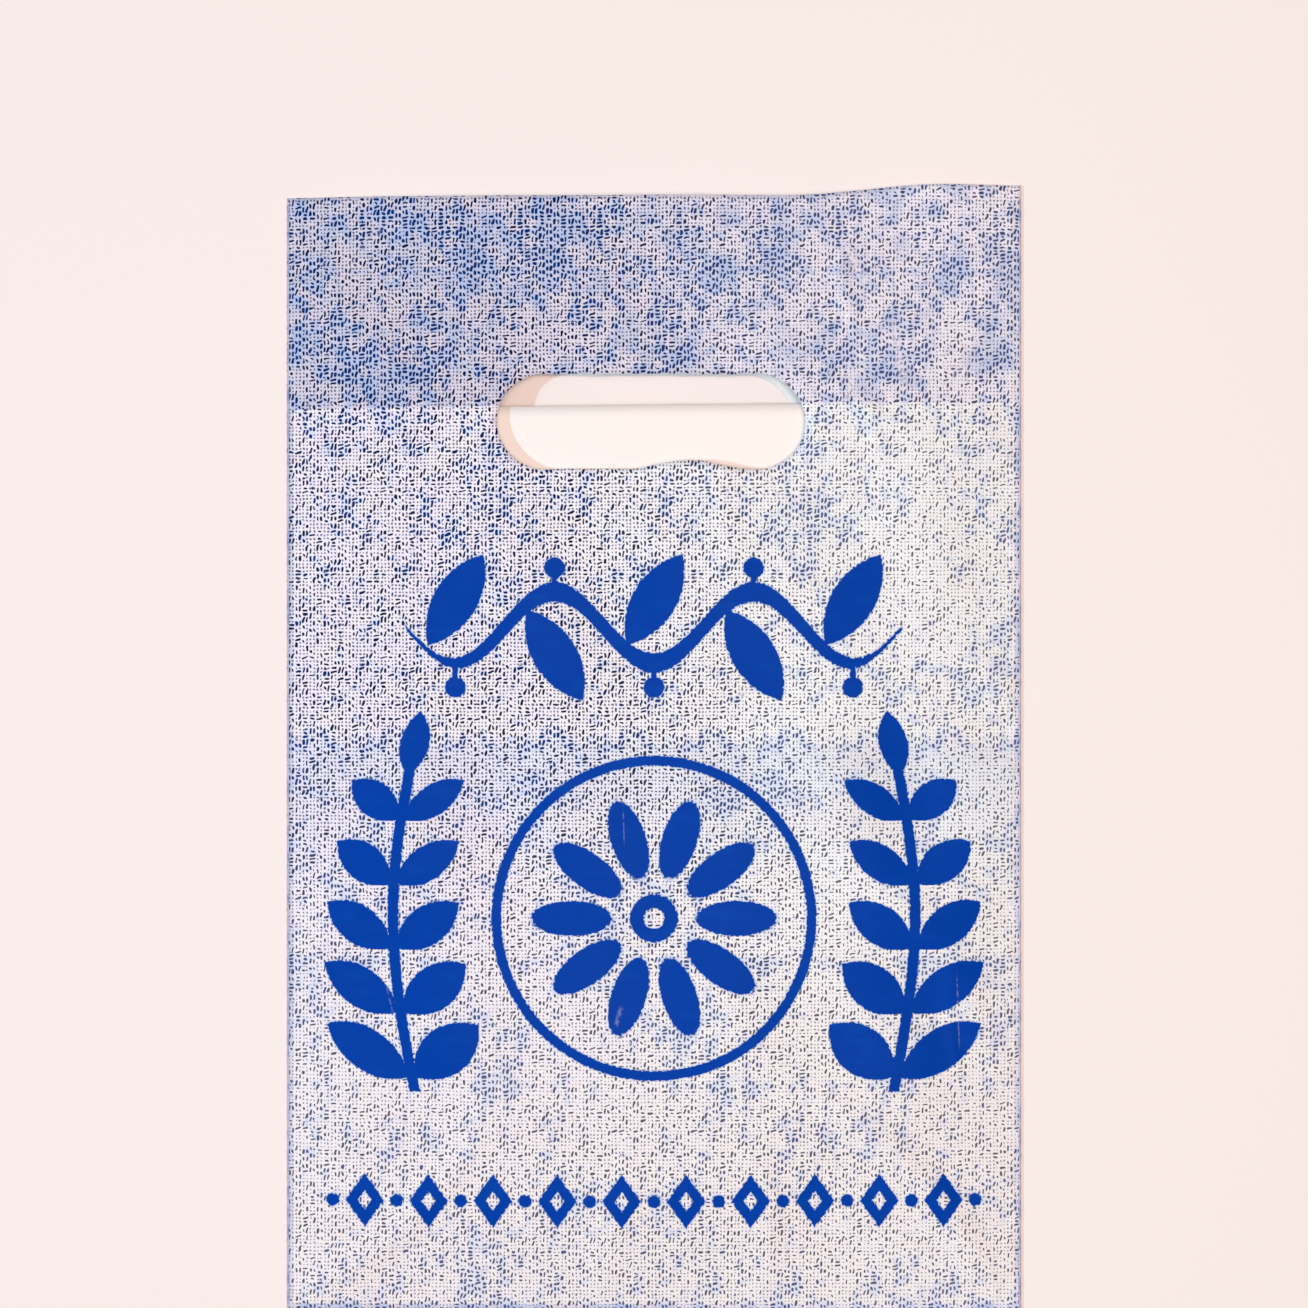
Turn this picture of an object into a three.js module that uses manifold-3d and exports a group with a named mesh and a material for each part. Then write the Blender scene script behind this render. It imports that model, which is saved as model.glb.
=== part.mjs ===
// A flat merchandise bag of plastic film, lying on its back panel, with the white
// sheet that is slipped into it. Millimetres, +Z up. X runs across the bag and +Y
// points at its mouth. The origin is the middle of the bag's box, on the surface that
// the bag lies on.
//
// The bag is one web of film. It starts at the mouth's front edge, goes down the front
// panel, round the bottom fold and up the back panel to the mouth's back edge. Both
// sides are welded, and one die cuts the hand hole through both panels.

import * as THREE from "three";
import { mergeVertices } from "three/addons/utils/BufferGeometryUtils.js";
import Module from "manifold-3d";

// The bag's outline, laid flat.
const BAG_WIDTH = 229;
const BAG_LENGTH = 356;
const MOUTH_SLANT = 4; // how much lower the mouth is at its left than at its right
const SLANT_START = 38; // where along X the mouth starts to rise
const SLANT_END = 92; // and where it is level again

// The film, its welds, and the air between layers that lie on each other.
const FILM = 0.2;
const LAYER_GAP = 0.3;
const WELD_WIDTH = 1.6;
const WELD_PROUD = 0.1; // how far the welds' beads stand out past the film all round
const WELD_LEAD = 12; // how far from a weld the film starts to rise to it

// The hand hole.
const HOLE_WIDTH = 95.5;
const HOLE_HEIGHT = 29.5;
const HOLE_DROP = 59.5; // from the mouth's highest point down to the hole
const HOLE_OFFSET = -1; // the hole's middle across the bag
const BACK_SLIP = -3; // how far the back panel's hole lies across from the front's
const DENT_RISE = 2.7; // the hole's lower edge has buckled up by this much
const DENT_OFFSET = 11.5; // the buckle's middle across the hole
const DENT_WIDTH = 40;

// How the front panel stands off the back one, with a little air in the bag.
const PUFF = 10; // the front's height over its lowest level in the middle
const PUFF_SHARPNESS = 2.4; // larger keeps the panel flat further out to the welds
const BOTTOM_RISE = 95; // how far up the bag the front takes to reach that height
const MOUTH_EASE = 0.12; // the share of that height lost at the mouth
const MOUTH_EASE_LENGTH = 90;
const RIPPLE_HEIGHT = 0.8; // waves along the mouth
const RIPPLE_LENGTH = 88;
const RIPPLE_REACH = 60; // how far down the waves fade out

// The white sheet inside the bag.
const SHEET = 0.3;
const SHEET_DROP = 69; // from the mouth's highest point down to the sheet's top edge
const SHEET_SLOPE = 0.0096; // how much that edge rises for each millimetre across
const SHEET_SIDE = 0.6; // from the sheet's sides to the welds
const SHEET_FOOT = 10; // from the bag's bottom up to the sheet's lower edge
const SHEET_LIFT = 5.4; // how far the sheet's top edge bows up off the back panel
const SHEET_BEND = 120; // the length of sheet that bows up

// How finely the curved film and sheet are divided.
const COLUMNS = 26;
const FRONT_ROWS = 32;
const BACK_ROWS = 10;
const SHEET_ROWS = 20;
const FOLD_STEPS = 4;
const HOLE_END_STEPS = 10;
const DENT_STEPS = 8;

// The middle surfaces' levels, from the ground up.
const BACK_LEVEL = FILM / 2;
const SHEET_LEVEL = FILM + LAYER_GAP + SHEET / 2;
const FRONT_LEVEL = SHEET_LEVEL + SHEET / 2 + LAYER_GAP + FILM / 2;
const WELD_HEIGHT = FRONT_LEVEL + FILM / 2 + 2 * WELD_PROUD;
const FOLD_RADIUS = (FRONT_LEVEL - BACK_LEVEL) / 2;
const INSIDE = BAG_WIDTH / 2 - WELD_WIDTH; // from the middle out to the welds

const clamp01 = (t) => Math.min(1, Math.max(0, t));
const smooth = (t) => clamp01(t) ** 2 * (3 - 2 * clamp01(t));

// The web's cut edges at the mouth, and where each panel ends at the bottom fold. The
// welds' beads stand out past both and set the bag's length.
const bottomY = () => -BAG_LENGTH / 2 + WELD_PROUD + FILM / 2 + FOLD_RADIUS;

function mouthY(x) {
  const rise = smooth((x - SLANT_START) / (SLANT_END - SLANT_START));
  return BAG_LENGTH / 2 - WELD_PROUD - MOUTH_SLANT * (1 - rise);
}

const sheetTopY = (x) => BAG_LENGTH / 2 - SHEET_DROP + SHEET_SLOPE * x;
const sheetFootY = () => -BAG_LENGTH / 2 + SHEET_FOOT;

// 0 at the welds and 1 in the middle of the bag.
const pillow = (x) => 1 - Math.min(1, Math.abs(x) / INSIDE) ** PUFF_SHARPNESS;

// All layers rise together to the middle of the welds' thickness.
const weldRise = (x) => WELD_PROUD * smooth(1 - (INSIDE - Math.abs(x)) / WELD_LEAD);

// The heights of the three middle surfaces.
const backZ = (x) => BACK_LEVEL + weldRise(x);

function frontZ(x, y) {
  const rise = 1 - (1 - clamp01((y - bottomY()) / BOTTOM_RISE)) ** 2;
  const toMouth = mouthY(x) - y;
  const ease = 1 - MOUTH_EASE * smooth(1 - toMouth / MOUTH_EASE_LENGTH);
  const fade = smooth(1 - toMouth / RIPPLE_REACH);
  const ripple = RIPPLE_HEIGHT * Math.sin((2 * Math.PI * x) / RIPPLE_LENGTH) * fade;
  return FRONT_LEVEL + weldRise(x) + pillow(x) * (PUFF * rise * ease + ripple);
}

function sheetZ(x, y) {
  const bow = SHEET_LIFT * smooth(1 - (sheetTopY(x) - y) / SHEET_BEND);
  return SHEET_LEVEL + weldRise(x) + pillow(x) * bow;
}

// Rows of points across a sheet, each a function from x to a place in the YZ plane.
function straightRows(steps, fromY, toY, height) {
  return Array.from({ length: steps + 1 }, (_, i) => (x) => {
    const y = THREE.MathUtils.lerp(fromY(x), toY(x), i / steps);
    return new THREE.Vector2(y, height(x, y));
  });
}

// The rows between the two panels, on a half turn that bulges to -Y.
function foldRows() {
  return Array.from({ length: FOLD_STEPS - 1 }, (_, i) => (x) => {
    const angle = Math.PI / 2 + (Math.PI * (i + 1)) / FOLD_STEPS;
    return new THREE.Vector2(
      bottomY() + FOLD_RADIUS * Math.cos(angle),
      backZ(x) + FOLD_RADIUS * (1 + Math.sin(angle)),
    );
  });
}

// Columns lie closer together towards the welds, where the film bends most.
function columnX(halfWidth, i) {
  const side = (2 * i) / COLUMNS - 1;
  return (halfWidth * (side + Math.sin((Math.PI / 2) * side))) / 2;
}

// A closed shell about the rows' surface: an outer skin, an inner skin, and a rim.
function shellGeometry(rows, halfWidth, thickness) {
  const positions = [];
  const indices = [];
  for (const half of [thickness / 2, -thickness / 2]) {
    rows.forEach((row, j) => {
      for (let i = 0; i <= COLUMNS; i++) {
        const x = columnX(halfWidth, i);
        const before = rows[Math.max(j - 1, 0)](x);
        const after = rows[Math.min(j + 1, rows.length - 1)](x);
        const along = after.sub(before).normalize();
        const { x: y, y: z } = row(x);
        positions.push(x, y + half * along.y, z - half * along.x);
      }
    });
  }
  const stride = COLUMNS + 1;
  const skin = rows.length * stride;
  const quad = (a, b, c, d) => indices.push(a, b, c, a, c, d);
  for (let j = 0; j < rows.length - 1; j++) {
    for (let i = 0; i < COLUMNS; i++) {
      const a = j * stride + i;
      quad(a, a + stride, a + stride + 1, a + 1);
      quad(skin + a, skin + a + 1, skin + a + stride + 1, skin + a + stride);
    }
    const left = j * stride;
    const right = left + COLUMNS;
    quad(left, skin + left, skin + left + stride, left + stride);
    quad(right, right + stride, skin + right + stride, skin + right);
  }
  const last = (rows.length - 1) * stride;
  for (let i = 0; i < COLUMNS; i++) {
    quad(i, i + 1, skin + i + 1, skin + i);
    quad(last + i, skin + last + i, skin + last + i + 1, last + i + 1);
  }
  const geometry = new THREE.BufferGeometry();
  geometry.setAttribute("position", new THREE.Float32BufferAttribute(positions, 3));
  geometry.setIndex(indices);
  geometry.computeVertexNormals();
  return geometry;
}

// The film from one mouth edge to the other. Its sides end inside the welds.
function webGeometry() {
  const rows = [
    ...straightRows(FRONT_ROWS, mouthY, bottomY, frontZ),
    ...foldRows(),
    ...straightRows(BACK_ROWS, bottomY, mouthY, backZ),
  ];
  return shellGeometry(rows, INSIDE + WELD_WIDTH / 2, FILM);
}

function sheetGeometry() {
  const rows = straightRows(SHEET_ROWS, sheetTopY, sheetFootY, sheetZ);
  return shellGeometry(rows, INSIDE - SHEET_SIDE, SHEET);
}

// The bead that joins both panels along one side of the bag.
function weldGeometry(side) {
  const edgeX = (side * BAG_WIDTH) / 2;
  const top = mouthY(edgeX) + WELD_PROUD;
  const length = top + BAG_LENGTH / 2;
  const bead = new THREE.BoxGeometry(WELD_WIDTH, length, WELD_HEIGHT);
  const x = edgeX - (side * WELD_WIDTH) / 2;
  bead.translate(x, top - length / 2, WELD_HEIGHT / 2);
  return bead;
}

// The die's outline: two straight sides with round ends. Its lower half buckles up by
// `dent`, and a wide buckle also lifts the round ends.
function holeShape(dent) {
  const radius = HOLE_HEIGHT / 2;
  const straight = HOLE_WIDTH / 2 - radius;
  const dentStart = DENT_OFFSET - DENT_WIDTH / 2;

  const lowerY = (x) => {
    const past = Math.max(Math.abs(x) - straight, 0);
    const t = THREE.MathUtils.clamp((x - dentStart) / DENT_WIDTH, 0, 1);
    return dent * Math.sin(Math.PI * t) ** 2 - Math.sqrt(Math.max(radius ** 2 - past ** 2, 0));
  };

  const upper = [];
  const lowerX = [];
  for (let i = 0; i <= HOLE_END_STEPS; i++) {
    const angle = (Math.PI / 2) * (i / HOLE_END_STEPS);
    const x = straight + radius * Math.cos(angle);
    const y = radius * Math.sin(angle);
    upper.push([x, y], [-x, y]);
    lowerX.push(x, -x);
  }
  for (let i = 0; i <= DENT_STEPS; i++) {
    const x = dentStart + DENT_WIDTH * (i / DENT_STEPS);
    if (Math.abs(x) < straight + radius) lowerX.push(x);
  }
  upper.sort((a, b) => b[0] - a[0]);
  lowerX.sort((a, b) => a - b);
  const inner = lowerX.slice(1, -1).map((x) => [x, lowerY(x)]);
  return new THREE.Shape([...upper, ...inner].map(([x, y]) => new THREE.Vector2(x, y)));
}

// A cutter that follows the die's outline between two heights.
function holeCutter(offsetX, dent, fromZ, toZ) {
  const cutter = new THREE.ExtrudeGeometry(holeShape(dent), {
    depth: toZ - fromZ,
    bevelEnabled: false,
  });
  const y = BAG_LENGTH / 2 - HOLE_DROP - HOLE_HEIGHT / 2;
  cutter.translate(HOLE_OFFSET + offsetX, y, fromZ);
  return cutter;
}

const wasm = await Module();
wasm.setup();

function toSolid(geometry) {
  const bare = new THREE.BufferGeometry();
  bare.setAttribute("position", geometry.getAttribute("position"));
  bare.setIndex(geometry.getIndex());
  const merged = mergeVertices(bare, 1e-4);
  return new wasm.Manifold(
    new wasm.Mesh({
      numProp: 3,
      vertProperties: new Float32Array(merged.getAttribute("position").array),
      triVerts: new Uint32Array(merged.getIndex().array),
    }),
  );
}

function toGeometry(solid) {
  const { vertProperties, triVerts } = solid.getMesh();
  const geometry = new THREE.BufferGeometry();
  geometry.setAttribute("position", new THREE.BufferAttribute(vertProperties, 3));
  geometry.setIndex(new THREE.BufferAttribute(triVerts, 1));
  geometry.computeVertexNormals();
  return geometry;
}

function bagGeometry() {
  const betweenPanels = FRONT_LEVEL + PUFF / 4;
  const above = FRONT_LEVEL + PUFF + RIPPLE_HEIGHT + FILM;
  const frontCut = holeCutter(0, DENT_RISE, betweenPanels, above);
  const backCut = holeCutter(BACK_SLIP, 0, -FILM, betweenPanels);
  const solid = toSolid(webGeometry())
    .add(toSolid(weldGeometry(-1)))
    .add(toSolid(weldGeometry(1)))
    .subtract(toSolid(frontCut))
    .subtract(toSolid(backCut));
  return toGeometry(solid);
}

const film = new THREE.MeshStandardMaterial({
  name: "printed film",
  color: new THREE.Color(0.72, 0.72, 0.83),
  roughness: 0.38,
  metalness: 0,
});

const paper = new THREE.MeshStandardMaterial({
  name: "white paper",
  color: new THREE.Color(0.9, 0.88, 0.87),
  roughness: 0.85,
  metalness: 0,
});

const bag = new THREE.Mesh(bagGeometry(), film);
bag.name = "bag_film";

const sheet = new THREE.Mesh(sheetGeometry(), paper);
sheet.name = "insert_sheet";

const part = new THREE.Group();
part.add(bag, sheet);

export default part;
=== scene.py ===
import math

import bpy
import numpy as np
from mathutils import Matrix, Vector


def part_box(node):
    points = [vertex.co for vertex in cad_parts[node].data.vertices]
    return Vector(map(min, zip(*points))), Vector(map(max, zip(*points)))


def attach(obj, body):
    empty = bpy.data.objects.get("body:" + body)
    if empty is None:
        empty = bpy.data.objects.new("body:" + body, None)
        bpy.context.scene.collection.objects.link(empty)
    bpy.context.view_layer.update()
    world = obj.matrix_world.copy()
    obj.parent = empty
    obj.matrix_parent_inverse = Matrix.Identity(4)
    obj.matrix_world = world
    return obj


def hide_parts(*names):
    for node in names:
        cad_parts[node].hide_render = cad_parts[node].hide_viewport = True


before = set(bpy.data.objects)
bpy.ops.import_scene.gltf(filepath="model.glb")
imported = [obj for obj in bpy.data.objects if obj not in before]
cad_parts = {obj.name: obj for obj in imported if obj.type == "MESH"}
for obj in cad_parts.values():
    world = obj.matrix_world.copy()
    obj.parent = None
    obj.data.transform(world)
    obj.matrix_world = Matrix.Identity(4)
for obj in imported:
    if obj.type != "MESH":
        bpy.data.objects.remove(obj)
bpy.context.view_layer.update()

# A flat carrier bag of printed film with a white sheet inside, seen from straight above.
# Lengths are in millimetres until a mesh or camera is made, and MM turns them into
# metres. The floor and the lamps are given in metres. X runs across the bag and +Y
# points at its mouth. The bag's width and length come from the frame.
MM = 0.001

film_low, film_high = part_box("bag_film")
sheet_low, sheet_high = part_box("insert_sheet")

BAG_WIDTH = (film_high.x - film_low.x) / MM
BAG_LENGTH = (film_high.y - film_low.y) / MM
TOP = film_high.y / MM
BOTTOM = film_low.y / MM

# The bag's form, as in the part's source.
MOUTH_SLANT, SLANT_START, SLANT_END = 4, 38, 92
WELD_WIDTH = 1.6
INSIDE = BAG_WIDTH / 2 - WELD_WIDTH
HOLE_WIDTH, HOLE_HEIGHT, HOLE_DROP, HOLE_OFFSET = 95.5, 29.5, 59.5, -1
BACK_SLIP = -3
DENT_RISE, DENT_OFFSET, DENT_WIDTH = 2.7, 11.5, 40
PUFF, PUFF_SHARPNESS, BOTTOM_RISE = 10, 2.4, 95
MOUTH_EASE, MOUTH_EASE_LENGTH = 0.12, 90
RIPPLE_HEIGHT, RIPPLE_LENGTH, RIPPLE_REACH = 0.8, 88, 60
SHEET_FOOT_DROP = 2.4
SHEET_FOOT = sheet_low.y / MM - SHEET_FOOT_DROP
SHEET_HALF_WIDTH = sheet_high.x / MM
SHEET_SLOPE = 0.0096
SHEET_TOP = sheet_high.y / MM - SHEET_SLOPE * SHEET_HALF_WIDTH
SHEET_LIFT, SHEET_BEND = 5.4, 120
SHEET_EDGE_LIFT, SHEET_EDGE_BEND = 1.2, 40  # the sheet's edge clings to the front film
BACK_LEVEL, SHEET_LEVEL, FRONT_LEVEL = 0.1, 0.65, 1.2
FOLD_RADIUS = (FRONT_LEVEL - BACK_LEVEL) / 2
WELD_Z = (BACK_LEVEL + FRONT_LEVEL) / 2
HOLE_Y = TOP - HOLE_DROP - HOLE_HEIGHT / 2

# How the film and the sheet are made here: their thickness, and the spacing of rows.
FILM = 0.12
PAPER = 0.16
MOUTH_INSET, FOLD_INSET = 0.1, 0.2  # from the solid's ends to the middle of the film
CLOSING_START, CLOSING_REACH = 0.4, 1.4  # where the panels close towards a weld
COLUMNS = 120
WIDEST_COLUMN = 1.3  # times the mean one, in the bag's middle
FRONT_ROW, BACK_ROW, SHEET_ROW = 2.0, 3.0, 4.0
FOLD_STEPS = 6
BEAD_RADIUS, BEAD_INSET, BEAD_END = 0.36, 0.42, 0.3  # the last: its ends' share of the radius
BEAD_STEP, BEAD_SIDES = 3.0, 8


def srgb(red, green, blue):
    """A colour as it looks on a screen, from 0 to 255, as linear light."""

    def linear(value):
        value /= 255
        return value / 12.92 if value <= 0.04045 else ((value + 0.055) / 1.055) ** 2.4

    return (linear(red), linear(green), linear(blue), 1)


def smooth(t):
    t = np.clip(t, 0, 1)
    return t * t * (3 - 2 * t)


def lerp(a, b, t):
    return a + (b - a) * t


# The bag's form

def mouth_y(x):
    slant = smooth((x - SLANT_START) / (SLANT_END - SLANT_START))
    return TOP - MOUTH_INSET - MOUTH_SLANT * (1 - slant)


def bottom_y(x):
    return BOTTOM + FOLD_INSET + FOLD_RADIUS + 0 * x


def sheet_top_y(x):
    return SHEET_TOP + SHEET_SLOPE * x


def pillow(x):
    return 1 - np.minimum(1, np.abs(x) / INSIDE) ** PUFF_SHARPNESS


def closing(x):
    """0 inside the bag and 1 in the welds, where both panels meet."""
    return smooth((np.abs(x) - INSIDE + CLOSING_START) / CLOSING_REACH)


# Creases in the front panel: both ends, how high the film stands there, and how wide.
CREASES = [
    ((-60, 168), (-52, 132), 0.7, 3.0),
    ((58, 158), (63, 134), 1.1, 1.6),
    ((66, 112), (71, 96), 0.9, 1.4),
    ((52, 120), (84, 100), 0.8, 2.2),
    ((-104, 150), (-62, 108), 0.8, 4.5),
    ((-108, -60), (-70, -8), 0.8, 6.0),
    ((106, -96), (60, -30), 0.9, 6.5),
    ((-106, -166), (-52, -112), 1.4, 5.0),
    ((106, -166), (48, -104), 1.5, 5.5),
    ((-20, -168), (-8, -118), 0.7, 4.0),
    ((34, -166), (30, -120), 0.6, 3.4),
    ((94, -60), (96, -100), 0.5, 1.2),
    ((-10, 0), (-12, -30), 0.4, 1.2),
    ((-112, 44), (-58, 58), 0.7, 5.0),
    ((112, 20), (66, 44), 0.7, 5.5),
    ((20, 92), (34, 40), 0.8, 6.0),
    ((-46, 90), (-62, 52), 0.6, 5.0),
]
CREASE_BEND, CREASE_OVERRUN, CREASE_FADE = 0.08, 0.15, 0.4  # shares of its length

# The fold that a packed bag keeps across its middle.
STORED_FOLD_V = 173.6
STORED_FOLD_Y = TOP - STORED_FOLD_V
STORED_FOLD_RISE, STORED_FOLD_WIDTH, STORED_FOLD_SLOPE = 0.35, 1.6, 0.01

# The film dips at the hole's upper left and stands up at the buckle in its lower edge.
DIP_X, DIP_Y = HOLE_OFFSET - 38, HOLE_Y + 13
DIP_DEPTH, DIP_WIDTH, DIP_HEIGHT = 2.2, 13, 7
LIP_X, LIP_Y = HOLE_OFFSET + DENT_OFFSET, HOLE_Y - HOLE_HEIGHT / 2
LIP_RISE, LIP_WIDTH, LIP_HEIGHT = 0.6, 14, 7
# Soft waves all over the front panel, and how far from the welds and the fold they start.
LOOSE_RISE, LOOSE_FROM_WELD, LOOSE_FROM_FOLD = 0.55, 30, 25
CREASE_FROM_WELD = 4
PUCKER_RISE, PUCKER_REACH, PUCKER_FROM_WELD = 0.42, 8, 2.5
LOWEST = -0.2  # the front panel sinks no further than this under FRONT_LEVEL
HOLE_RAGGED = 0.18  # how uneven the cut is
BACK_LIFT, BACK_LIFT_REACH, BACK_LIFT_LENGTH, BACK_LIFT_START = 0.9, 22, 74, -12


def crease(x, y, start, end, height, width):
    """A ridge along a line that fades out at both ends."""
    along = np.subtract(end, start)
    length = np.hypot(*along)
    direction = along / length
    t = ((x - start[0]) * direction[0] + (y - start[1]) * direction[1]) / length
    off = (x - start[0]) * direction[1] - (y - start[1]) * direction[0]
    bend = CREASE_BEND * length * np.sin(np.pi * np.clip(t, 0, 1))
    starting = smooth((t + CREASE_OVERRUN) / CREASE_FADE)
    ending = smooth((1 + CREASE_OVERRUN - t) / CREASE_FADE)
    return height * starting * ending * np.exp(-(((off - bend) / width) ** 2))


def waves(x, y, count, shortest, longest, seed):
    """Soft random waves of about unit height."""
    random = np.random.default_rng(seed)
    total = 0
    for _ in range(count):
        angle = random.uniform(0, math.pi)
        length = random.uniform(shortest, longest)
        phase = random.uniform(0, 2 * math.pi)
        run = x * math.cos(angle) + y * math.sin(angle)
        total = total + np.sin(2 * math.pi * run / length + phase)
    return total / math.sqrt(count / 2)


def mound(x, y):
    """A round rise of height 1."""
    return np.exp(-(x**2) - y**2)


def puckers(x, y):
    """Short gathers where the welds have drawn the film together."""
    inward = INSIDE - np.abs(x)
    side = np.sign(x)
    near_weld = np.exp(-np.maximum(inward, 0) / PUCKER_REACH) * smooth(inward / PUCKER_FROM_WELD)
    gathers = waves(0 * x + 40 * side, y, 7, 7, 19, 5)
    return PUCKER_RISE * near_weld * gathers


def front_z(x, y):
    rise = 1 - (1 - np.clip((y - bottom_y(x)) / BOTTOM_RISE, 0, 1)) ** 2
    to_mouth = mouth_y(x) - y
    ease = 1 - MOUTH_EASE * smooth(1 - to_mouth / MOUTH_EASE_LENGTH)
    fade = smooth(1 - to_mouth / RIPPLE_REACH)
    ripple = RIPPLE_HEIGHT * np.sin(2 * np.pi * x / RIPPLE_LENGTH) * fade
    body = pillow(x) * (PUFF * rise * ease + ripple)
    loose = smooth((INSIDE - np.abs(x)) / LOOSE_FROM_WELD)
    loose = loose * smooth((y - bottom_y(x)) / LOOSE_FROM_FOLD)
    body += LOOSE_RISE * loose * waves(x, y, 14, 34, 95, 11)
    from_weld = smooth((INSIDE - np.abs(x)) / CREASE_FROM_WELD)
    for start, end, height, width in CREASES:
        body += from_weld * crease(x, y, start, end, height, width)
    off_fold = (y - STORED_FOLD_Y - STORED_FOLD_SLOPE * x) / STORED_FOLD_WIDTH
    body += pillow(x) * STORED_FOLD_RISE * np.exp(-(off_fold**2))
    body += puckers(x, y)
    body -= DIP_DEPTH * mound((x - DIP_X) / DIP_WIDTH, (y - DIP_Y) / DIP_HEIGHT)
    body += LIP_RISE * mound((x - LIP_X) / LIP_WIDTH, (y - LIP_Y) / LIP_HEIGHT)
    return lerp(FRONT_LEVEL + np.maximum(body, LOWEST), WELD_Z + FILM / 2, closing(x))


def back_z(x, y):
    lift = BACK_LIFT * smooth(1 - (mouth_y(x) - y) / BACK_LIFT_REACH) * pillow(x)
    lift = lift * (1 + np.sin(2 * np.pi * (x - BACK_LIFT_START) / BACK_LIFT_LENGTH))
    return lerp(BACK_LEVEL + lift, WELD_Z - FILM / 2, closing(x))


def sheet_z(x, y):
    from_top = sheet_top_y(x) - y
    bow = SHEET_LIFT * smooth(1 - from_top / SHEET_BEND)
    bow += SHEET_EDGE_LIFT * smooth(1 - from_top / SHEET_EDGE_BEND)
    return SHEET_LEVEL + pillow(x) * bow


def hole_distance(x, y, slip, dent):
    """How far a point lies outside the die's outline."""
    radius = HOLE_HEIGHT / 2
    across = x - HOLE_OFFSET - slip
    up = y - HOLE_Y
    buckle = dent * np.sin(np.pi * np.clip((across - DENT_OFFSET) / DENT_WIDTH + 0.5, 0, 1)) ** 2
    up = np.where(up < 0, up * radius / (radius - buckle), up)
    past = np.maximum(np.abs(across) - (HOLE_WIDTH / 2 - radius), 0)
    ragged = HOLE_RAGGED * np.sin(across / 3.1) * np.sin(across / 7.3 + up / 4)
    return np.hypot(past, up) - radius + ragged


def snap_to_hole(x, y, slip, dent, margin):
    """Moves the points that lie within the margin of the outline onto it."""
    step = 0.01
    near = np.abs(hole_distance(x, y, slip, dent)) < margin
    for _ in range(3):
        d = hole_distance(x, y, slip, dent)
        slope_x = (hole_distance(x + step, y, slip, dent) - d) / step
        slope_y = (hole_distance(x, y + step, slip, dent) - d) / step
        steepness = np.maximum(slope_x**2 + slope_y**2, 0.2)
        x = np.where(near, x - d * slope_x / steepness, x)
        y = np.where(near, y - d * slope_y / steepness, y)
    return x, y, np.where(near, 0, hole_distance(x, y, slip, dent))


# Making meshes

def column_x(half_width, columns):
    """Places across, closer together towards both sides."""
    side = np.linspace(-1, 1, columns + 1)
    return half_width * (side + np.sin(np.pi / 2 * side)) / 2


def grid_faces(states):
    """The faces of a grid of points, without those that lie in a hole. A point's state
    is under 0 in a hole, 0 on its edge and over 0 elsewhere."""
    rows, columns = states.shape
    faces = []
    for j in range(rows - 1):
        for i in range(columns - 1):
            corners = [(j, i), (j + 1, i), (j + 1, i + 1), (j, i + 1)]
            kept = [r * columns + c for r, c in corners if states[r, c] >= 0]
            if any(states[r, c] > 0 for r, c in corners) and len(kept) > 2:
                faces.append(kept)
    return faces


def shell(name, points, uv, faces, thickness, outer, inner):
    """A closed thin solid about a surface, with its own material on either side."""
    points = np.asarray(points, float)
    normals = np.zeros_like(points)
    for face in faces:
        a, b, c = (points[k] for k in face[:3])
        normals[face] += np.cross(b - a, c - a)
    normals /= np.maximum(np.linalg.norm(normals, axis=1, keepdims=True), 1e-12)
    count = len(points)
    both = np.vstack([points + normals * thickness / 2, points - normals * thickness / 2])
    edges = {}
    for face in faces:
        for a, b in zip(face, face[1:] + face[:1]):
            if edges.pop((b, a), None) is None:
                edges[a, b] = True
    rim = [[b, a, count + a, count + b] for a, b in edges]
    every = faces + [[count + k for k in reversed(face)] for face in faces] + rim
    used = np.unique(np.concatenate([np.asarray(face) for face in every]))
    new_index = np.full(2 * count, -1)
    new_index[used] = np.arange(len(used))
    mesh = bpy.data.meshes.new(name)
    renumbered = [[int(new_index[k]) for k in face] for face in every]
    mesh.from_pydata((both[used] * MM).tolist(), [], renumbered)
    layer = mesh.uv_layers.new(name="print")
    corner_points = np.concatenate([np.asarray(face) for face in every]) % count
    layer.data.foreach_set("uv", (np.asarray(uv)[corner_points] * MM).ravel())
    mesh.materials.append(outer)
    mesh.materials.append(inner)
    sides = [0] * len(faces) + [1] * len(faces) + [0] * len(rim)
    mesh.polygons.foreach_set("material_index", sides)
    smooth_faces = [True] * (2 * len(faces)) + [False] * len(rim)
    mesh.polygons.foreach_set("use_smooth", smooth_faces)
    mesh.update()
    piece = bpy.data.objects.new(name, mesh)
    bpy.context.collection.objects.link(piece)
    return piece


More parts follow.
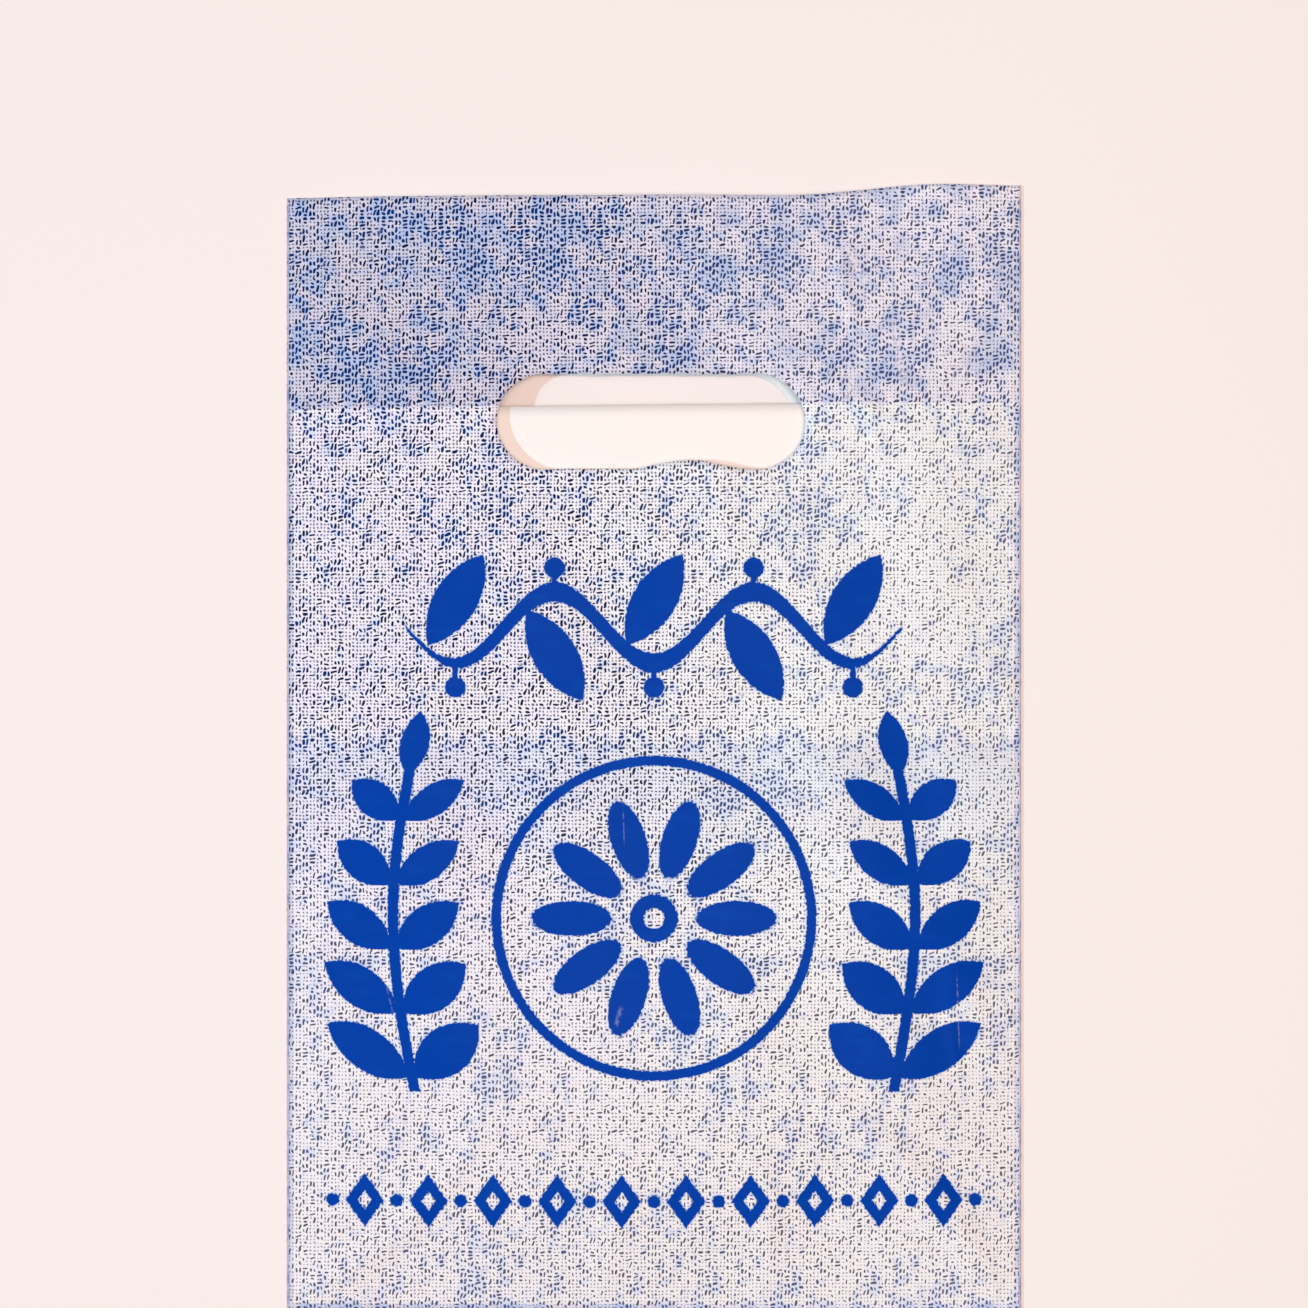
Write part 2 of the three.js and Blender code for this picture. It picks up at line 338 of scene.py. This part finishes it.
def make_bag(outer, inner):
    """The web of film from the mouth's front edge, round the bottom, to its back edge."""
    x = column_x(BAG_WIDTH / 2, COLUMNS)
    half_column = BAG_WIDTH / COLUMNS * WIDEST_COLUMN / 2
    xs, ys, zs, runs, states = [], [], [], [], []
    front_rows = round(BAG_LENGTH / FRONT_ROW)
    for t in np.linspace(0, 1, front_rows + 1):
        y = lerp(mouth_y(x), bottom_y(x), t)
        px, py, state = snap_to_hole(x, y, 0, DENT_RISE, max(FRONT_ROW / 2, half_column))
        xs.append(px)
        ys.append(py)
        zs.append(front_z(px, py))
        runs.append(TOP - py)
        states.append(state)
    for t in np.linspace(0, 1, FOLD_STEPS + 1)[1:-1]:
        angle = math.pi * (0.5 + t)
        radius = lerp(FOLD_RADIUS, FILM / 2, closing(x))
        middle = (front_z(x, bottom_y(x)) + back_z(x, bottom_y(x))) / 2
        xs.append(x)
        ys.append(bottom_y(x) + radius * math.cos(angle))
        zs.append(middle + radius * math.sin(angle))
        runs.append(0 * x + BAG_LENGTH + math.pi * FOLD_RADIUS * t)
        states.append(0 * x + 1)
    back_rows = round(BAG_LENGTH / BACK_ROW)
    for t in np.linspace(0, 1, back_rows + 1):
        y = lerp(bottom_y(x), mouth_y(x), t)
        px, py, state = snap_to_hole(x, y, BACK_SLIP, 0, max(BACK_ROW / 2, half_column))
        xs.append(px)
        ys.append(py)
        zs.append(back_z(px, py))
        runs.append(BAG_LENGTH + math.pi * FOLD_RADIUS + py - BOTTOM)
        states.append(state)
    points = np.stack([np.array(xs), np.array(ys), np.array(zs)], axis=-1).reshape(-1, 3)
    uv = np.stack([np.array(xs), np.array(runs)], axis=-1).reshape(-1, 2)
    faces = grid_faces(np.array(states))
    return shell("bag_shell", points, uv, faces, FILM, outer, inner)


def make_sheet(material):
    x = column_x(SHEET_HALF_WIDTH, COLUMNS // 2)
    rows = round((SHEET_TOP - SHEET_FOOT) / SHEET_ROW)
    steps = np.linspace(0, 1, rows + 1)
    ys = np.array([lerp(sheet_top_y(x), SHEET_FOOT + 0 * x, t) for t in steps])
    xs = np.broadcast_to(x, ys.shape)
    points = np.stack([xs, ys, sheet_z(xs, ys)], axis=-1).reshape(-1, 3)
    faces = grid_faces(np.ones(ys.shape))
    return shell("white_sheet", points, points[:, :2], faces, PAPER, material, material)


def make_bead(name, side, material):
    """The melted bead along a weld, a little uneven as heat leaves it."""
    ring = BEAD_SIDES
    ys = np.arange(BOTTOM, mouth_y(np.array(side * BAG_WIDTH / 2)), BEAD_STEP)
    vertices = []
    for k, y in enumerate(ys):
        radius = BEAD_RADIUS + 0.05 * math.sin(k * 1.7) + 0.04 * math.sin(k * 0.61)
        radius *= BEAD_END if k in (0, len(ys) - 1) else 1
        for angle in np.linspace(0, 2 * math.pi, ring, endpoint=False):
            x = side * (BAG_WIDTH / 2 - BEAD_INSET) + radius * math.cos(angle)
            vertices.append((x * MM, y * MM, (WELD_Z + radius * math.sin(angle)) * MM))
    faces = []
    for k in range(len(ys) - 1):
        for i in range(ring):
            a, b = k * ring + i, k * ring + (i + 1) % ring
            faces.append((a, a + ring, b + ring, b))
    faces.append(tuple(range(ring)))
    faces.append(tuple(reversed(range((len(ys) - 1) * ring, len(ys) * ring))))
    mesh = bpy.data.meshes.new(name)
    mesh.from_pydata(vertices, [], faces)
    mesh.polygons.foreach_set("use_smooth", [True] * len(faces))
    mesh.materials.append(material)
    piece = bpy.data.objects.new(name, mesh)
    bpy.context.collection.objects.link(piece)
    return piece


# Numbers that a material works out at each point

def feed(tree, value, socket):
    """Gives a socket a fixed value, a field or another node's output."""
    if isinstance(value, Field):
        value = value.socket
    if isinstance(value, bpy.types.NodeSocket):
        tree.links.new(value, socket)
    else:
        socket.default_value = value


class Field:
    """A number in a material, built from math nodes by plain arithmetic."""

    def __init__(self, tree, socket):
        self.tree = tree
        self.socket = socket

    def math(self, operation, *others):
        node = self.tree.nodes.new("ShaderNodeMath")
        node.operation = operation
        for socket, value in zip(node.inputs, (self, *others)):
            feed(self.tree, value, socket)
        return Field(self.tree, node.outputs[0])

    def __add__(self, other):
        return self.math("ADD", other)

    def __radd__(self, other):
        return self.math("ADD", other)

    def __sub__(self, other):
        return self.math("SUBTRACT", other)

    def __rsub__(self, other):
        return self.math("MULTIPLY", -1).math("ADD", other)

    def __mul__(self, other):
        return self.math("MULTIPLY", other)

    def __rmul__(self, other):
        return self.math("MULTIPLY", other)

    def __truediv__(self, other):
        return self.math("DIVIDE", other)

    def floor(self):
        return self.math("FLOOR")

    def abs(self):
        return self.math("ABSOLUTE")

    def sin(self):
        return self.math("SINE")

    def cos(self):
        return self.math("COSINE")

    def least(self, *others):
        found = self
        for other in others:
            found = found.math("MINIMUM", other)
        return found

    def most(self, *others):
        found = self
        for other in others:
            found = found.math("MAXIMUM", other)
        return found

    def ramp(self, zero_at, one_at):
        """0 up to zero_at and 1 from one_at on, or the other way round."""
        node = self.tree.nodes.new("ShaderNodeMapRange")
        node.interpolation_type = "SMOOTHSTEP"
        feed(self.tree, self, node.inputs["Value"])
        node.inputs["From Min"].default_value = zero_at
        node.inputs["From Max"].default_value = one_at
        return Field(self.tree, node.outputs["Result"])


def reach(x, y):
    """The distance from the middle to (x, y)."""
    return (x * x + y * y).math("SQRT")


class Paint:
    """The places, noises and colours of one material."""

    def __init__(self, name):
        self.material = bpy.data.materials.new(name)
        self.material.use_nodes = True
        self.tree = self.material.node_tree
        self.tree.nodes.clear()
        self.output = self.tree.nodes.new("ShaderNodeOutputMaterial")

    def feed(self, value, socket):
        feed(self.tree, value, socket)

    def place(self, source, *names):
        """Coordinates in millimetres, from the print's own map or the object."""
        if source == "print":
            node = self.tree.nodes.new("ShaderNodeUVMap")
            node.uv_map = "print"
            vector = node.outputs[0]
        else:
            vector = self.tree.nodes.new("ShaderNodeTexCoord").outputs["Object"]
        scale = self.tree.nodes.new("ShaderNodeVectorMath")
        scale.operation = "SCALE"
        scale.inputs["Scale"].default_value = 1 / MM
        self.feed(vector, scale.inputs[0])
        split = self.tree.nodes.new("ShaderNodeSeparateXYZ")
        self.feed(scale.outputs[0], split.inputs[0])
        return [Field(self.tree, split.outputs[name]) for name in names]

    def vector(self, x, y, z=0):
        node = self.tree.nodes.new("ShaderNodeCombineXYZ")
        for value, socket in zip((x, y, z), node.inputs):
            self.feed(value, socket)
        return node.outputs[0]

    def noise(self, x, y, size, detail=2.0, shift=0.0):
        """Cloudy noise about 0.5, with blobs about size across."""
        node = self.tree.nodes.new("ShaderNodeTexNoise")
        node.inputs["Scale"].default_value = 1 / size
        node.inputs["Detail"].default_value = detail
        self.feed(self.vector(x, y, shift), node.inputs["Vector"])
        return Field(self.tree, node.outputs["Fac"])

    def chances(self, column, row, seed):
        """Three random numbers for each cell of a grid."""
        node = self.tree.nodes.new("ShaderNodeTexWhiteNoise")
        node.noise_dimensions = "3D"
        self.feed(self.vector(column, row, seed), node.inputs["Vector"])
        split = self.tree.nodes.new("ShaderNodeSeparateColor")
        self.feed(node.outputs["Color"], split.inputs[0])
        return [Field(self.tree, output) for output in split.outputs]

    def mix(self, below, above, share):
        """The colour above laid over the colour below, by share."""
        node = self.tree.nodes.new("ShaderNodeMix")
        node.data_type = "RGBA"
        self.feed(share, node.inputs[0])
        self.feed(below, node.inputs[6])
        self.feed(above, node.inputs[7])
        return node.outputs[2]

    def surface(self, colour, roughness, see_through=0.0, bump=None, bump_height=0.0, ior=1.33):
        """Shows the colour on a glossy or matte surface that passes some light on."""
        body = self.tree.nodes.new("ShaderNodeBsdfPrincipled")
        body.inputs["IOR"].default_value = ior
        self.feed(roughness, body.inputs["Roughness"])
        self.feed(colour, body.inputs["Base Color"])
        shown = body.outputs[0]
        if bump is not None:
            node = self.tree.nodes.new("ShaderNodeBump")
            node.inputs["Strength"].default_value = 1.0
            node.inputs["Distance"].default_value = bump_height * MM
            self.feed(bump, node.inputs["Height"])
            self.feed(node.outputs[0], body.inputs["Normal"])
        if see_through:
            glow = self.tree.nodes.new("ShaderNodeBsdfTranslucent")
            self.feed(colour, glow.inputs["Color"])
            both = self.tree.nodes.new("ShaderNodeMixShader")
            both.inputs[0].default_value = see_through
            self.feed(shown, both.inputs[1])
            self.feed(glow.outputs[0], both.inputs[2])
            shown = both.outputs[0]
        self.feed(shown, self.output.inputs["Surface"])
        return self.material


# Colours and the print

INSIDE_PALE = srgb(254, 249, 248)
INSIDE_BLUR = srgb(240, 238, 244)
WELD_PALE = srgb(214, 214, 232)
WELD_BURNT = srgb(156, 166, 206)
PAPER_DARK = srgb(244, 233, 228)
PAPER_PALE = srgb(247, 237, 232)
FLOOR_COLOUR = srgb(241, 228, 224)
# Painted light: the film's ground is painted darker on the left and lighter on the right.
FILM_SHADED_LEFT = srgb(251, 241, 254)
FILM_LIT_RIGHT = srgb(254, 253, 254)
FILM_FOOT = srgb(254, 244, 244)
FILM_WARM = srgb(254, 246, 247)
# Painted shade where no white sheet lies behind the film, darker on the left.
UNBACKED_SHADE_LEFT = srgb(226, 216, 232)
UNBACKED_SHADE_RIGHT = srgb(250, 243, 254)
BACK_CLOUD = srgb(188, 200, 236)
HAZE = srgb(184, 204, 246)
BAND_HAZE = srgb(160, 186, 232)
DOT_INK = srgb(66, 60, 98)
DASH_INK = srgb(8, 26, 72)
CLOUD_INK = srgb(2, 50, 118)
SOLID_INK = srgb(0, 66, 172)
SOLID_INK_PALE = srgb(6, 78, 182)
FRINGE = srgb(150, 180, 228)
# Painted highlight and stress-whitening along creases.
GLINT_AND_WHITENING = srgb(252, 240, 246)

# How each surface takes light: its roughness, the share that it passes on, and its gloss.
FILM_ROUGHNESS, FILM_SEE_THROUGH, FILM_IOR = 0.46, 0.18, 1.1
INSIDE_ROUGHNESS, INSIDE_SEE_THROUGH, INSIDE_IOR = 0.45, 0.14, 1.14
WELD_ROUGHNESS, WELD_SEE_THROUGH = 0.3, 0.3
MATTE = 0.9
FILM_GRAIN, FILM_GRAIN_HEIGHT = 2.6, 0.05
FIBRE, FIBRE_HEIGHT = 1.2, 0.02

PITCH = 1.12  # from one speck of the print to the next
REPEAT = 11  # after so many blocks of two specks the pattern starts again
CLOUD_SIZE, DRIFT_SIZE = 4.8, 34.0
JITTER, JITTER_SIZE = 0.9, 1.9  # how far specks stray, and how soon that changes
LEVEL_SHARE = 0.28  # of all blocks
SLANT = 0.6
FAR = 9  # further off than any speck reaches


def clouds(paint, u, v):
    """The blue patches of the print, which start again with its pattern."""
    turn = u * (math.pi / (REPEAT * PITCH))
    radius = REPEAT * PITCH / math.pi
    east, north = turn.cos() * radius, turn.sin() * radius
    patches = paint.noise(east, north, CLOUD_SIZE, 3.0, shift=v)
    drift = paint.noise(u, v, DRIFT_SIZE, 1.0)
    more = v.ramp(90, 50) * 0.04 - v.ramp(0, 300) * 0.03
    return (patches + (drift - 0.5) * 0.5 + more).ramp(0.46, 0.66)


def specks(paint, u, v, cloud, lighter_print):
    """The print's specks: how far a point lies outside the nearest dash and the nearest
    dot. They stand in a grid, in blocks of two by two. Each block has upright or level
    dashes, and a dash takes the place of two dots. The last input makes the specks smaller."""
    block = 2 * PITCH
    u = u + (paint.noise(u, v, JITTER_SIZE, 1.0, shift=61) - 0.5) * JITTER
    v = v + (paint.noise(u, v, JITTER_SIZE, 1.0, shift=83) - 0.5) * JITTER
    column = (u / block).floor()
    turn = column.math("WRAP", REPEAT, 0)
    down = v / block + turn.math("WRAP", 2, 0) * 0.5
    row = down.floor()
    upright = 1 - paint.chances(turn, row, 3.5)[0].math("GREATER_THAN", 1 - LEVEL_SHARE)
    x = u - column * block
    y = (down - row) * block
    across = y + (x - y) * upright
    along = x + y - across - PITCH
    lane = (across / PITCH).floor().least(1)
    across = across - (lane + 0.5) * PITCH
    first, second, third = paint.chances(turn * 2 + lane, row, 8.5)
    slanted = across + along * (third - 0.5) * SLANT
    half_width = 0.26 + 0.15 * second + 0.07 * cloud - 0.06 * lighter_print
    half_length = 0.52 + 0.5 * third - 0.1 * lighter_print
    past_end = (along.abs() - half_length + half_width).most(0)
    dash = reach(slanted, past_end) - half_width
    missing = first.math("GREATER_THAN", 0.48 + 0.5 * cloud) * FAR
    radius = 0.24 + 0.12 * second - 0.07 * lighter_print
    dot = reach(across, (along.abs() - PITCH / 2) * 0.85) - radius
    return dash + missing, dot + (FAR - missing)


# The solid motif in the middle of the front panel: a flourish, a flower in a ring
# between two sprigs, and a row of lozenges. Places are in millimetres down from the
# mouth and out from the bag's middle.
FLOURISH_V, FLOURISH_HALF, FLOURISH_STEP, FLOURISH_SWING = 138, 77, 30.8, 11.0
FLOURISH_LEAF, FLOURISH_LEAF_HALF_WIDTH, FLOURISH_LEAF_ANGLE = 16.5, 6.8, 1.02
BERRY_OUT, BERRY_RADIUS = 18.5, 3.2
RING_V, RING_RADIUS, RING_LINE = 228, 48.8, 3.0
PETALS, PETAL_OUT, PETAL_HALF_WIDTH, PETAL_HALF_LENGTH = 10, 25.5, 5.4, 12.5
HEART_RADIUS, HEART_HOLE = 7.4, 3.2
SPRIG_U, SPRIG_V, SPRIG_STEP, SPRIG_PAIRS, SPRIG_LEAN = 78, 178, 20.0, 5, 6.0
SPRIG_LEAF_OUT, SPRIG_LEAF, SPRIG_LEAF_HALF_WIDTH, SPRIG_LEAF_ANGLE = 13.9, 13.0, 6.4, 0.95
SPRIG_TIP_UP, SPRIG_TIP, SPRIG_TIP_HALF_WIDTH, SPRIG_STEM = 4, 10.0, 4.6, 1.7
ROW_V, ROW_HALF, ROW_STEP = 316, 100, 20.0
LOZENGE_HALF_WIDTH, LOZENGE_HALF_HEIGHT, LOZENGE_HOLE, ROW_DOT = 6.0, 8.4, 0.36, 2.0
LOZENGE_SLANT = 4.8  # turns the share of a half width into a distance


def leaf(across, along, half_length, half_width):
    """Outside distance of a pointed leaf whose length runs along one direction."""
    radius = (half_length**2 + half_width**2) / (2 * half_width)
    return reach(across.abs() + (radius - half_width), along) - radius


def flourish(u, v):
    """A stem that winds across, with a leaf inside each of its bends and a berry outside."""
    x = u + FLOURISH_STEP / 2
    index = (x / FLOURISH_STEP).floor()
    local = x - (index + 0.5) * FLOURISH_STEP
    turned = index.math("WRAP", 2, 0) * -2 + 1
    wave = (x * (math.pi / FLOURISH_STEP)).sin() * -FLOURISH_SWING
    up = FLOURISH_V - v
    taper = (u.abs() / FLOURISH_HALF).ramp(1.0, 0.55)
    stem = (up - wave).abs() * 0.72 - (0.5 + 1.7 * taper)
    side = up * turned
    x = local + 8.5
    y = side + 5.5
    cos, sin = math.cos(FLOURISH_LEAF_ANGLE), math.sin(FLOURISH_LEAF_ANGLE)
    along = x * cos + y * sin
    across = x * sin - y * cos
    leaves = leaf(across, along - FLOURISH_LEAF, FLOURISH_LEAF, FLOURISH_LEAF_HALF_WIDTH)
    stalk = (local.abs() - 0.9).most((side + 14).abs() - 3)
    berry = reach(local, side + BERRY_OUT) - BERRY_RADIUS
    return stem.least(leaves, stalk, berry).most(u.abs() - FLOURISH_HALF)


def flower(u, v):
    """A ring round a flower with a round heart."""
    y = RING_V - v
    far = reach(u, y)
    ring = (far - RING_RADIUS).abs() - RING_LINE / 2
    sector = 2 * math.pi / PETALS
    angle = y.math("ARCTAN2", u)
    folded = angle.math("WRAP", sector / 2, -sector / 2)
    across = far * folded.sin()
    along = far * folded.cos() - PETAL_OUT
    petal = (reach(across / PETAL_HALF_WIDTH, along / PETAL_HALF_LENGTH) - 1) * PETAL_HALF_WIDTH
    heart = (far - HEART_RADIUS).most(HEART_HOLE - far)
    return ring.least(petal, heart)


def sprigs(u, v):
    """Two upright sprigs with pairs of leaves, the same on either side."""
    height = SPRIG_STEP * SPRIG_PAIRS
    up = SPRIG_V + height - v
    lean = (up * (math.pi / height)).sin() * SPRIG_LEAN
    x = u.abs() - SPRIG_U - lean + 3
    index = (up / SPRIG_STEP).floor().least(SPRIG_PAIRS - 1).most(0)
    local = up - index * SPRIG_STEP
    shrink = 1.08 - 0.07 * index
    out = x.abs()
    cos, sin = math.cos(SPRIG_LEAF_ANGLE), math.sin(SPRIG_LEAF_ANGLE)
    along = (out * sin + local * cos) / shrink
    across = (out * cos - local * sin) / shrink
    leaves = leaf(across, along - SPRIG_LEAF_OUT, SPRIG_LEAF, SPRIG_LEAF_HALF_WIDTH) * shrink
    stem = (out - SPRIG_STEM).most(up * -1 - 4, up - height)
    tip = leaf(x, up - (height + SPRIG_TIP_UP), SPRIG_TIP, SPRIG_TIP_HALF_WIDTH)
    return leaves.least(stem, tip)


def lozenges(u, v):
    """A row of lozenges with dots between them."""
    x = u + ROW_HALF
    index = (x / ROW_STEP).floor().least(2 * ROW_HALF / ROW_STEP - 1).most(0)
    local = x - (index + 0.5) * ROW_STEP
    y = v - ROW_V
    share = local.abs() / LOZENGE_HALF_WIDTH + y.abs() / LOZENGE_HALF_HEIGHT
    lozenge = (share - 1) * LOZENGE_SLANT
    inner = (share - LOZENGE_HOLE) * LOZENGE_SLANT
    dot = reach(local.abs() - ROW_STEP / 2, y) - ROW_DOT
    return lozenge.most(inner * -1).least(dot)


# Pale marks along creases in the film: partly painted highlights (glints and sheen) and
# partly the film's own stress-whitening. Both ends as places across the bag and down from
# the mouth, how wide they are, and how pale.
GLINTS_AND_WHITENED_CREASES = [
    ((59, 18), (66, 33), 1.5, 0.95),
    ((63, 58), (59, 68), 1.3, 0.8),
    ((74, 42), (78, 66), 1.4, 0.5),
    ((94, 243), (95, 270), 0.35, 0.3),
    ((-9.6, 192), (-9.2, 206), 0.3, 0.25),
    ((-10, 255), (-12, 262), 1.0, 0.3),
    ((57, 168), (58, 184), 0.3, 0.22),
    ((-84, 246), (-80, 262), 0.4, 0.2),
    ((72, 38), (79, 66), 3.2, 0.2),
    ((100, 44), (93, 67), 3.6, 0.22),
    ((-98, 30), (-84, 12), 2.2, 0.12),
]


def glints_and_whitening(paint, u, v):
    """How pale the crease marks make the print: painted highlights and stress-whitening."""
    grain = paint.noise(u, v, 1.1, 2.0, shift=21).ramp(0.35, 0.6)
    total = 0
    for start, end, width, strength in GLINTS_AND_WHITENED_CREASES:
        length = math.dist(start, end)
        east, south = (end[0] - start[0]) / length, (end[1] - start[1]) / length
        x, y = u - start[0], v - start[1]
        along = x * east + y * south
        off = (x * south - y * east).abs()
        taper = (along / length - 0.5).abs().ramp(0.52, 0.25)
        total = total + (off / width).ramp(1.0, 0.2) * taper * strength
    return total * grain


def film_material():
    """The film's printed side. Where no white sheet lies behind it, the milky film is
    painted darker, as painted shade for the light that no sheet sends back through it,
    deepest on the left, and shows the other panel's print."""
    paint = Paint("printed_film")
    u, v = paint.place("print", "X", "Y")
    x, y = paint.place("object", "X", "Y")
    cloud = clouds(paint, u, v)
    # The print's specks are smaller and paler towards the right and the foot, and less so near the
    # mouth.
    lighter_print = x.ramp(-30, 80).most(v.ramp(150, 280) * 0.8) * v.ramp(50, 80).most(0.6)
    dash, dot = specks(paint, u, v, cloud, lighter_print)

    # Where no white sheet lies behind the film: there it gets painted shade and the other panel's
    # print.
    past_top = (y - x * SHEET_SLOPE - SHEET_TOP).ramp(-0.25, 0.25)
    past_rest = (SHEET_FOOT - y).most(x.abs() - SHEET_HALF_WIDTH).ramp(-0.4, 1.0)
    bare = past_top.most(past_rest)
    behind = paint.noise(u, v, 11.0, 2.0, shift=40).ramp(0.44, 0.66)

    # Painted light: the ground grows lighter from left to right, as the light falls.
    ground = paint.mix(FILM_SHADED_LEFT, FILM_LIT_RIGHT, x.ramp(-90, 60))
    ground = paint.mix(ground, FILM_FOOT, v.ramp(180, 330) * 0.8)
    warm = paint.noise(u, v, 12.0, 2.0, shift=52).ramp(0.46, 0.66)
    ground = paint.mix(ground, FILM_WARM, warm * 0.5)
    # Painted shade: a faint bluish darker band just below the stored fold, fading over 45 mm.
    fold_shade = v.ramp(STORED_FOLD_V - 2, STORED_FOLD_V + 2) * v.ramp(STORED_FOLD_V + 45, STORED_FOLD_V)
    ground = paint.mix(ground, HAZE, fold_shade * 0.2)
    # Painted shade: the film is painted darker where no sheet lies behind it, most on the left.
    unbacked_shade = paint.mix(UNBACKED_SHADE_LEFT, UNBACKED_SHADE_RIGHT, x.ramp(-100, 140))
    ground = paint.mix(ground, unbacked_shade, bare * 0.95)
    ground = paint.mix(ground, BACK_CLOUD, behind * bare * 0.5)
    hazy = 0.32 + bare * (0.18 - 0.15 * x.ramp(0, 90))
    ground = paint.mix(ground, paint.mix(HAZE, BAND_HAZE, bare), cloud * hazy)
    dots = dot.ramp(0.06, -0.1) * (0.88 - 0.16 * lighter_print)
    dashes = dash.ramp(0.06, -0.08) * (1 - 0.14 * lighter_print)
    colour = paint.mix(ground, paint.mix(DOT_INK, CLOUD_INK, cloud * 0.7), dots)
    colour = paint.mix(colour, paint.mix(DASH_INK, CLOUD_INK, cloud), dashes)

    motif = flourish(u, v).least(flower(u, v), sprigs(u, v), lozenges(u, v))
    on_front = (v - BAG_LENGTH).ramp(0.0, -1.0)
    ragged = motif + (paint.noise(u, v, 1.0, 1.0) - 0.5) * 1.1 + (1 - on_front) * 50
    fringe = ragged.ramp(0.6, 0.1)
    solid = ragged.ramp(0.1, -0.1)
    mottle = paint.noise(u * 0.35, v, 5.0, 3.0, shift=9).ramp(0.5, 0.75)
    colour = paint.mix(colour, FRINGE, fringe * 0.4)
    colour = paint.mix(colour, paint.mix(SOLID_INK, SOLID_INK_PALE, mottle * 0.4), solid)
    # Painted highlights and stress-whitening: pale marks along the creases.
    colour = paint.mix(colour, GLINT_AND_WHITENING, glints_and_whitening(paint, u, v) * (1 - solid * 0.4))

    grain = paint.noise(x, y, FILM_GRAIN, 3.0, shift=5)
    roughness = FILM_ROUGHNESS + 0.1 * paint.noise(x, y, 30.0, 1.0)
    return paint.surface(
        colour, roughness, FILM_SEE_THROUGH, grain, FILM_GRAIN_HEIGHT, FILM_IOR
    )


def inside_material():
    """The film's unprinted side, with a faint blur of the print."""
    paint = Paint("film_inside")
    x, y = paint.place("object", "X", "Y")
    blur = paint.noise(x, y, 9.0, 2.0).ramp(0.4, 0.7)
    colour = paint.mix(INSIDE_PALE, INSIDE_BLUR, blur * 0.8)
    grain = paint.noise(x, y, FILM_GRAIN, 3.0)
    return paint.surface(
        colour, INSIDE_ROUGHNESS, INSIDE_SEE_THROUGH, grain, FILM_GRAIN_HEIGHT, INSIDE_IOR
    )


def weld_material():
    paint = Paint("film_weld")
    x, y = paint.place("object", "X", "Y")
    burnt = paint.noise(x, y, 4.0, 2.0).ramp(0.4, 0.7)
    colour = paint.mix(WELD_PALE, WELD_BURNT, burnt)
    return paint.surface(colour, WELD_ROUGHNESS, WELD_SEE_THROUGH)


def paper_material():
    paint = Paint("white_paper")
    x, y = paint.place("object", "X", "Y")
    fibres = paint.noise(x, y, FIBRE, 4.0)
    colour = paint.mix(PAPER_DARK, PAPER_PALE, fibres)
    return paint.surface(colour, MATTE, bump=fibres, bump_height=FIBRE_HEIGHT)


def floor_material():
    paint = Paint("pale_floor")
    return paint.surface(FLOOR_COLOUR, MATTE)


# The bag

film = film_material()
bag = make_bag(film, inside_material())
sheet = make_sheet(paper_material())
weld = weld_material()
beads = [make_bead("left_weld_bead", -1, weld), make_bead("right_weld_bead", 1, weld)]

for piece in [bag, sheet, *beads]:
    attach(piece, "root")
for piece in [bag, *beads]:
    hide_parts("bag_film")
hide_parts("insert_sheet")

# The floor, the lamps and the camera

FLOOR_SIZE, FLOOR_DROP = 8.0, 0.00005
PHOTO_PIXELS, PIXEL = 1308, 0.3111
VIEW_WIDTH = PHOTO_PIXELS * PIXEL  # what the picture shows across
VIEW_LEVEL = 4.0  # at this height over the floor
VIEW_Y = 31.8
CAMERA_HEIGHT = 1250
SENSOR = 36
COOL, WARM = (0.31, 0.78, 1.0), (1.0, 0.85, 0.78)  # the key's light, and all the rest
SKY_STRENGTH = 0.24

bpy.ops.mesh.primitive_plane_add(size=FLOOR_SIZE, location=(0, 0, -FLOOR_DROP))
floor = bpy.context.object
floor.name = "floor"
floor.data.materials.append(floor_material())


def area_lamp(name, place, size, power, colour):
    """A round lamp that points at the middle of the bag."""
    data = bpy.data.lights.new(name, "AREA")
    data.shape = "DISK"
    data.size = size
    data.energy = power
    data.color = colour
    lamp = bpy.data.objects.new(name, data)
    lamp.location = place
    x, y, z = place
    tilt = math.atan2(math.hypot(x, y), z)
    heading = math.atan2(-y, -x)
    lamp.rotation_euler = (tilt, 0, heading - math.pi / 2)
    bpy.context.collection.objects.link(lamp)


area_lamp("key", (-3.6, -0.2, 3.28), size=0.2, power=108, colour=COOL)
area_lamp("left_fill", (-0.2, 0, 2.25), size=0.7, power=14.2, colour=WARM)
area_lamp("right_fill", (0.25, 0, 2.25), size=0.7, power=25, colour=WARM)

world = bpy.data.worlds.new("studio")
world.use_nodes = True
sky = world.node_tree.nodes["Background"]
sky.inputs["Color"].default_value = (*WARM, 1)
sky.inputs["Strength"].default_value = SKY_STRENGTH
bpy.context.scene.world = world
bpy.context.scene.view_settings.view_transform = "Standard"

lens = bpy.data.cameras.new("camera")
lens.sensor_width = SENSOR
lens.lens = SENSOR * CAMERA_HEIGHT / VIEW_WIDTH
camera = bpy.data.objects.new("camera", lens)
camera.location = (0, VIEW_Y * MM, (CAMERA_HEIGHT + VIEW_LEVEL) * MM)
bpy.context.collection.objects.link(camera)
bpy.context.scene.camera = camera
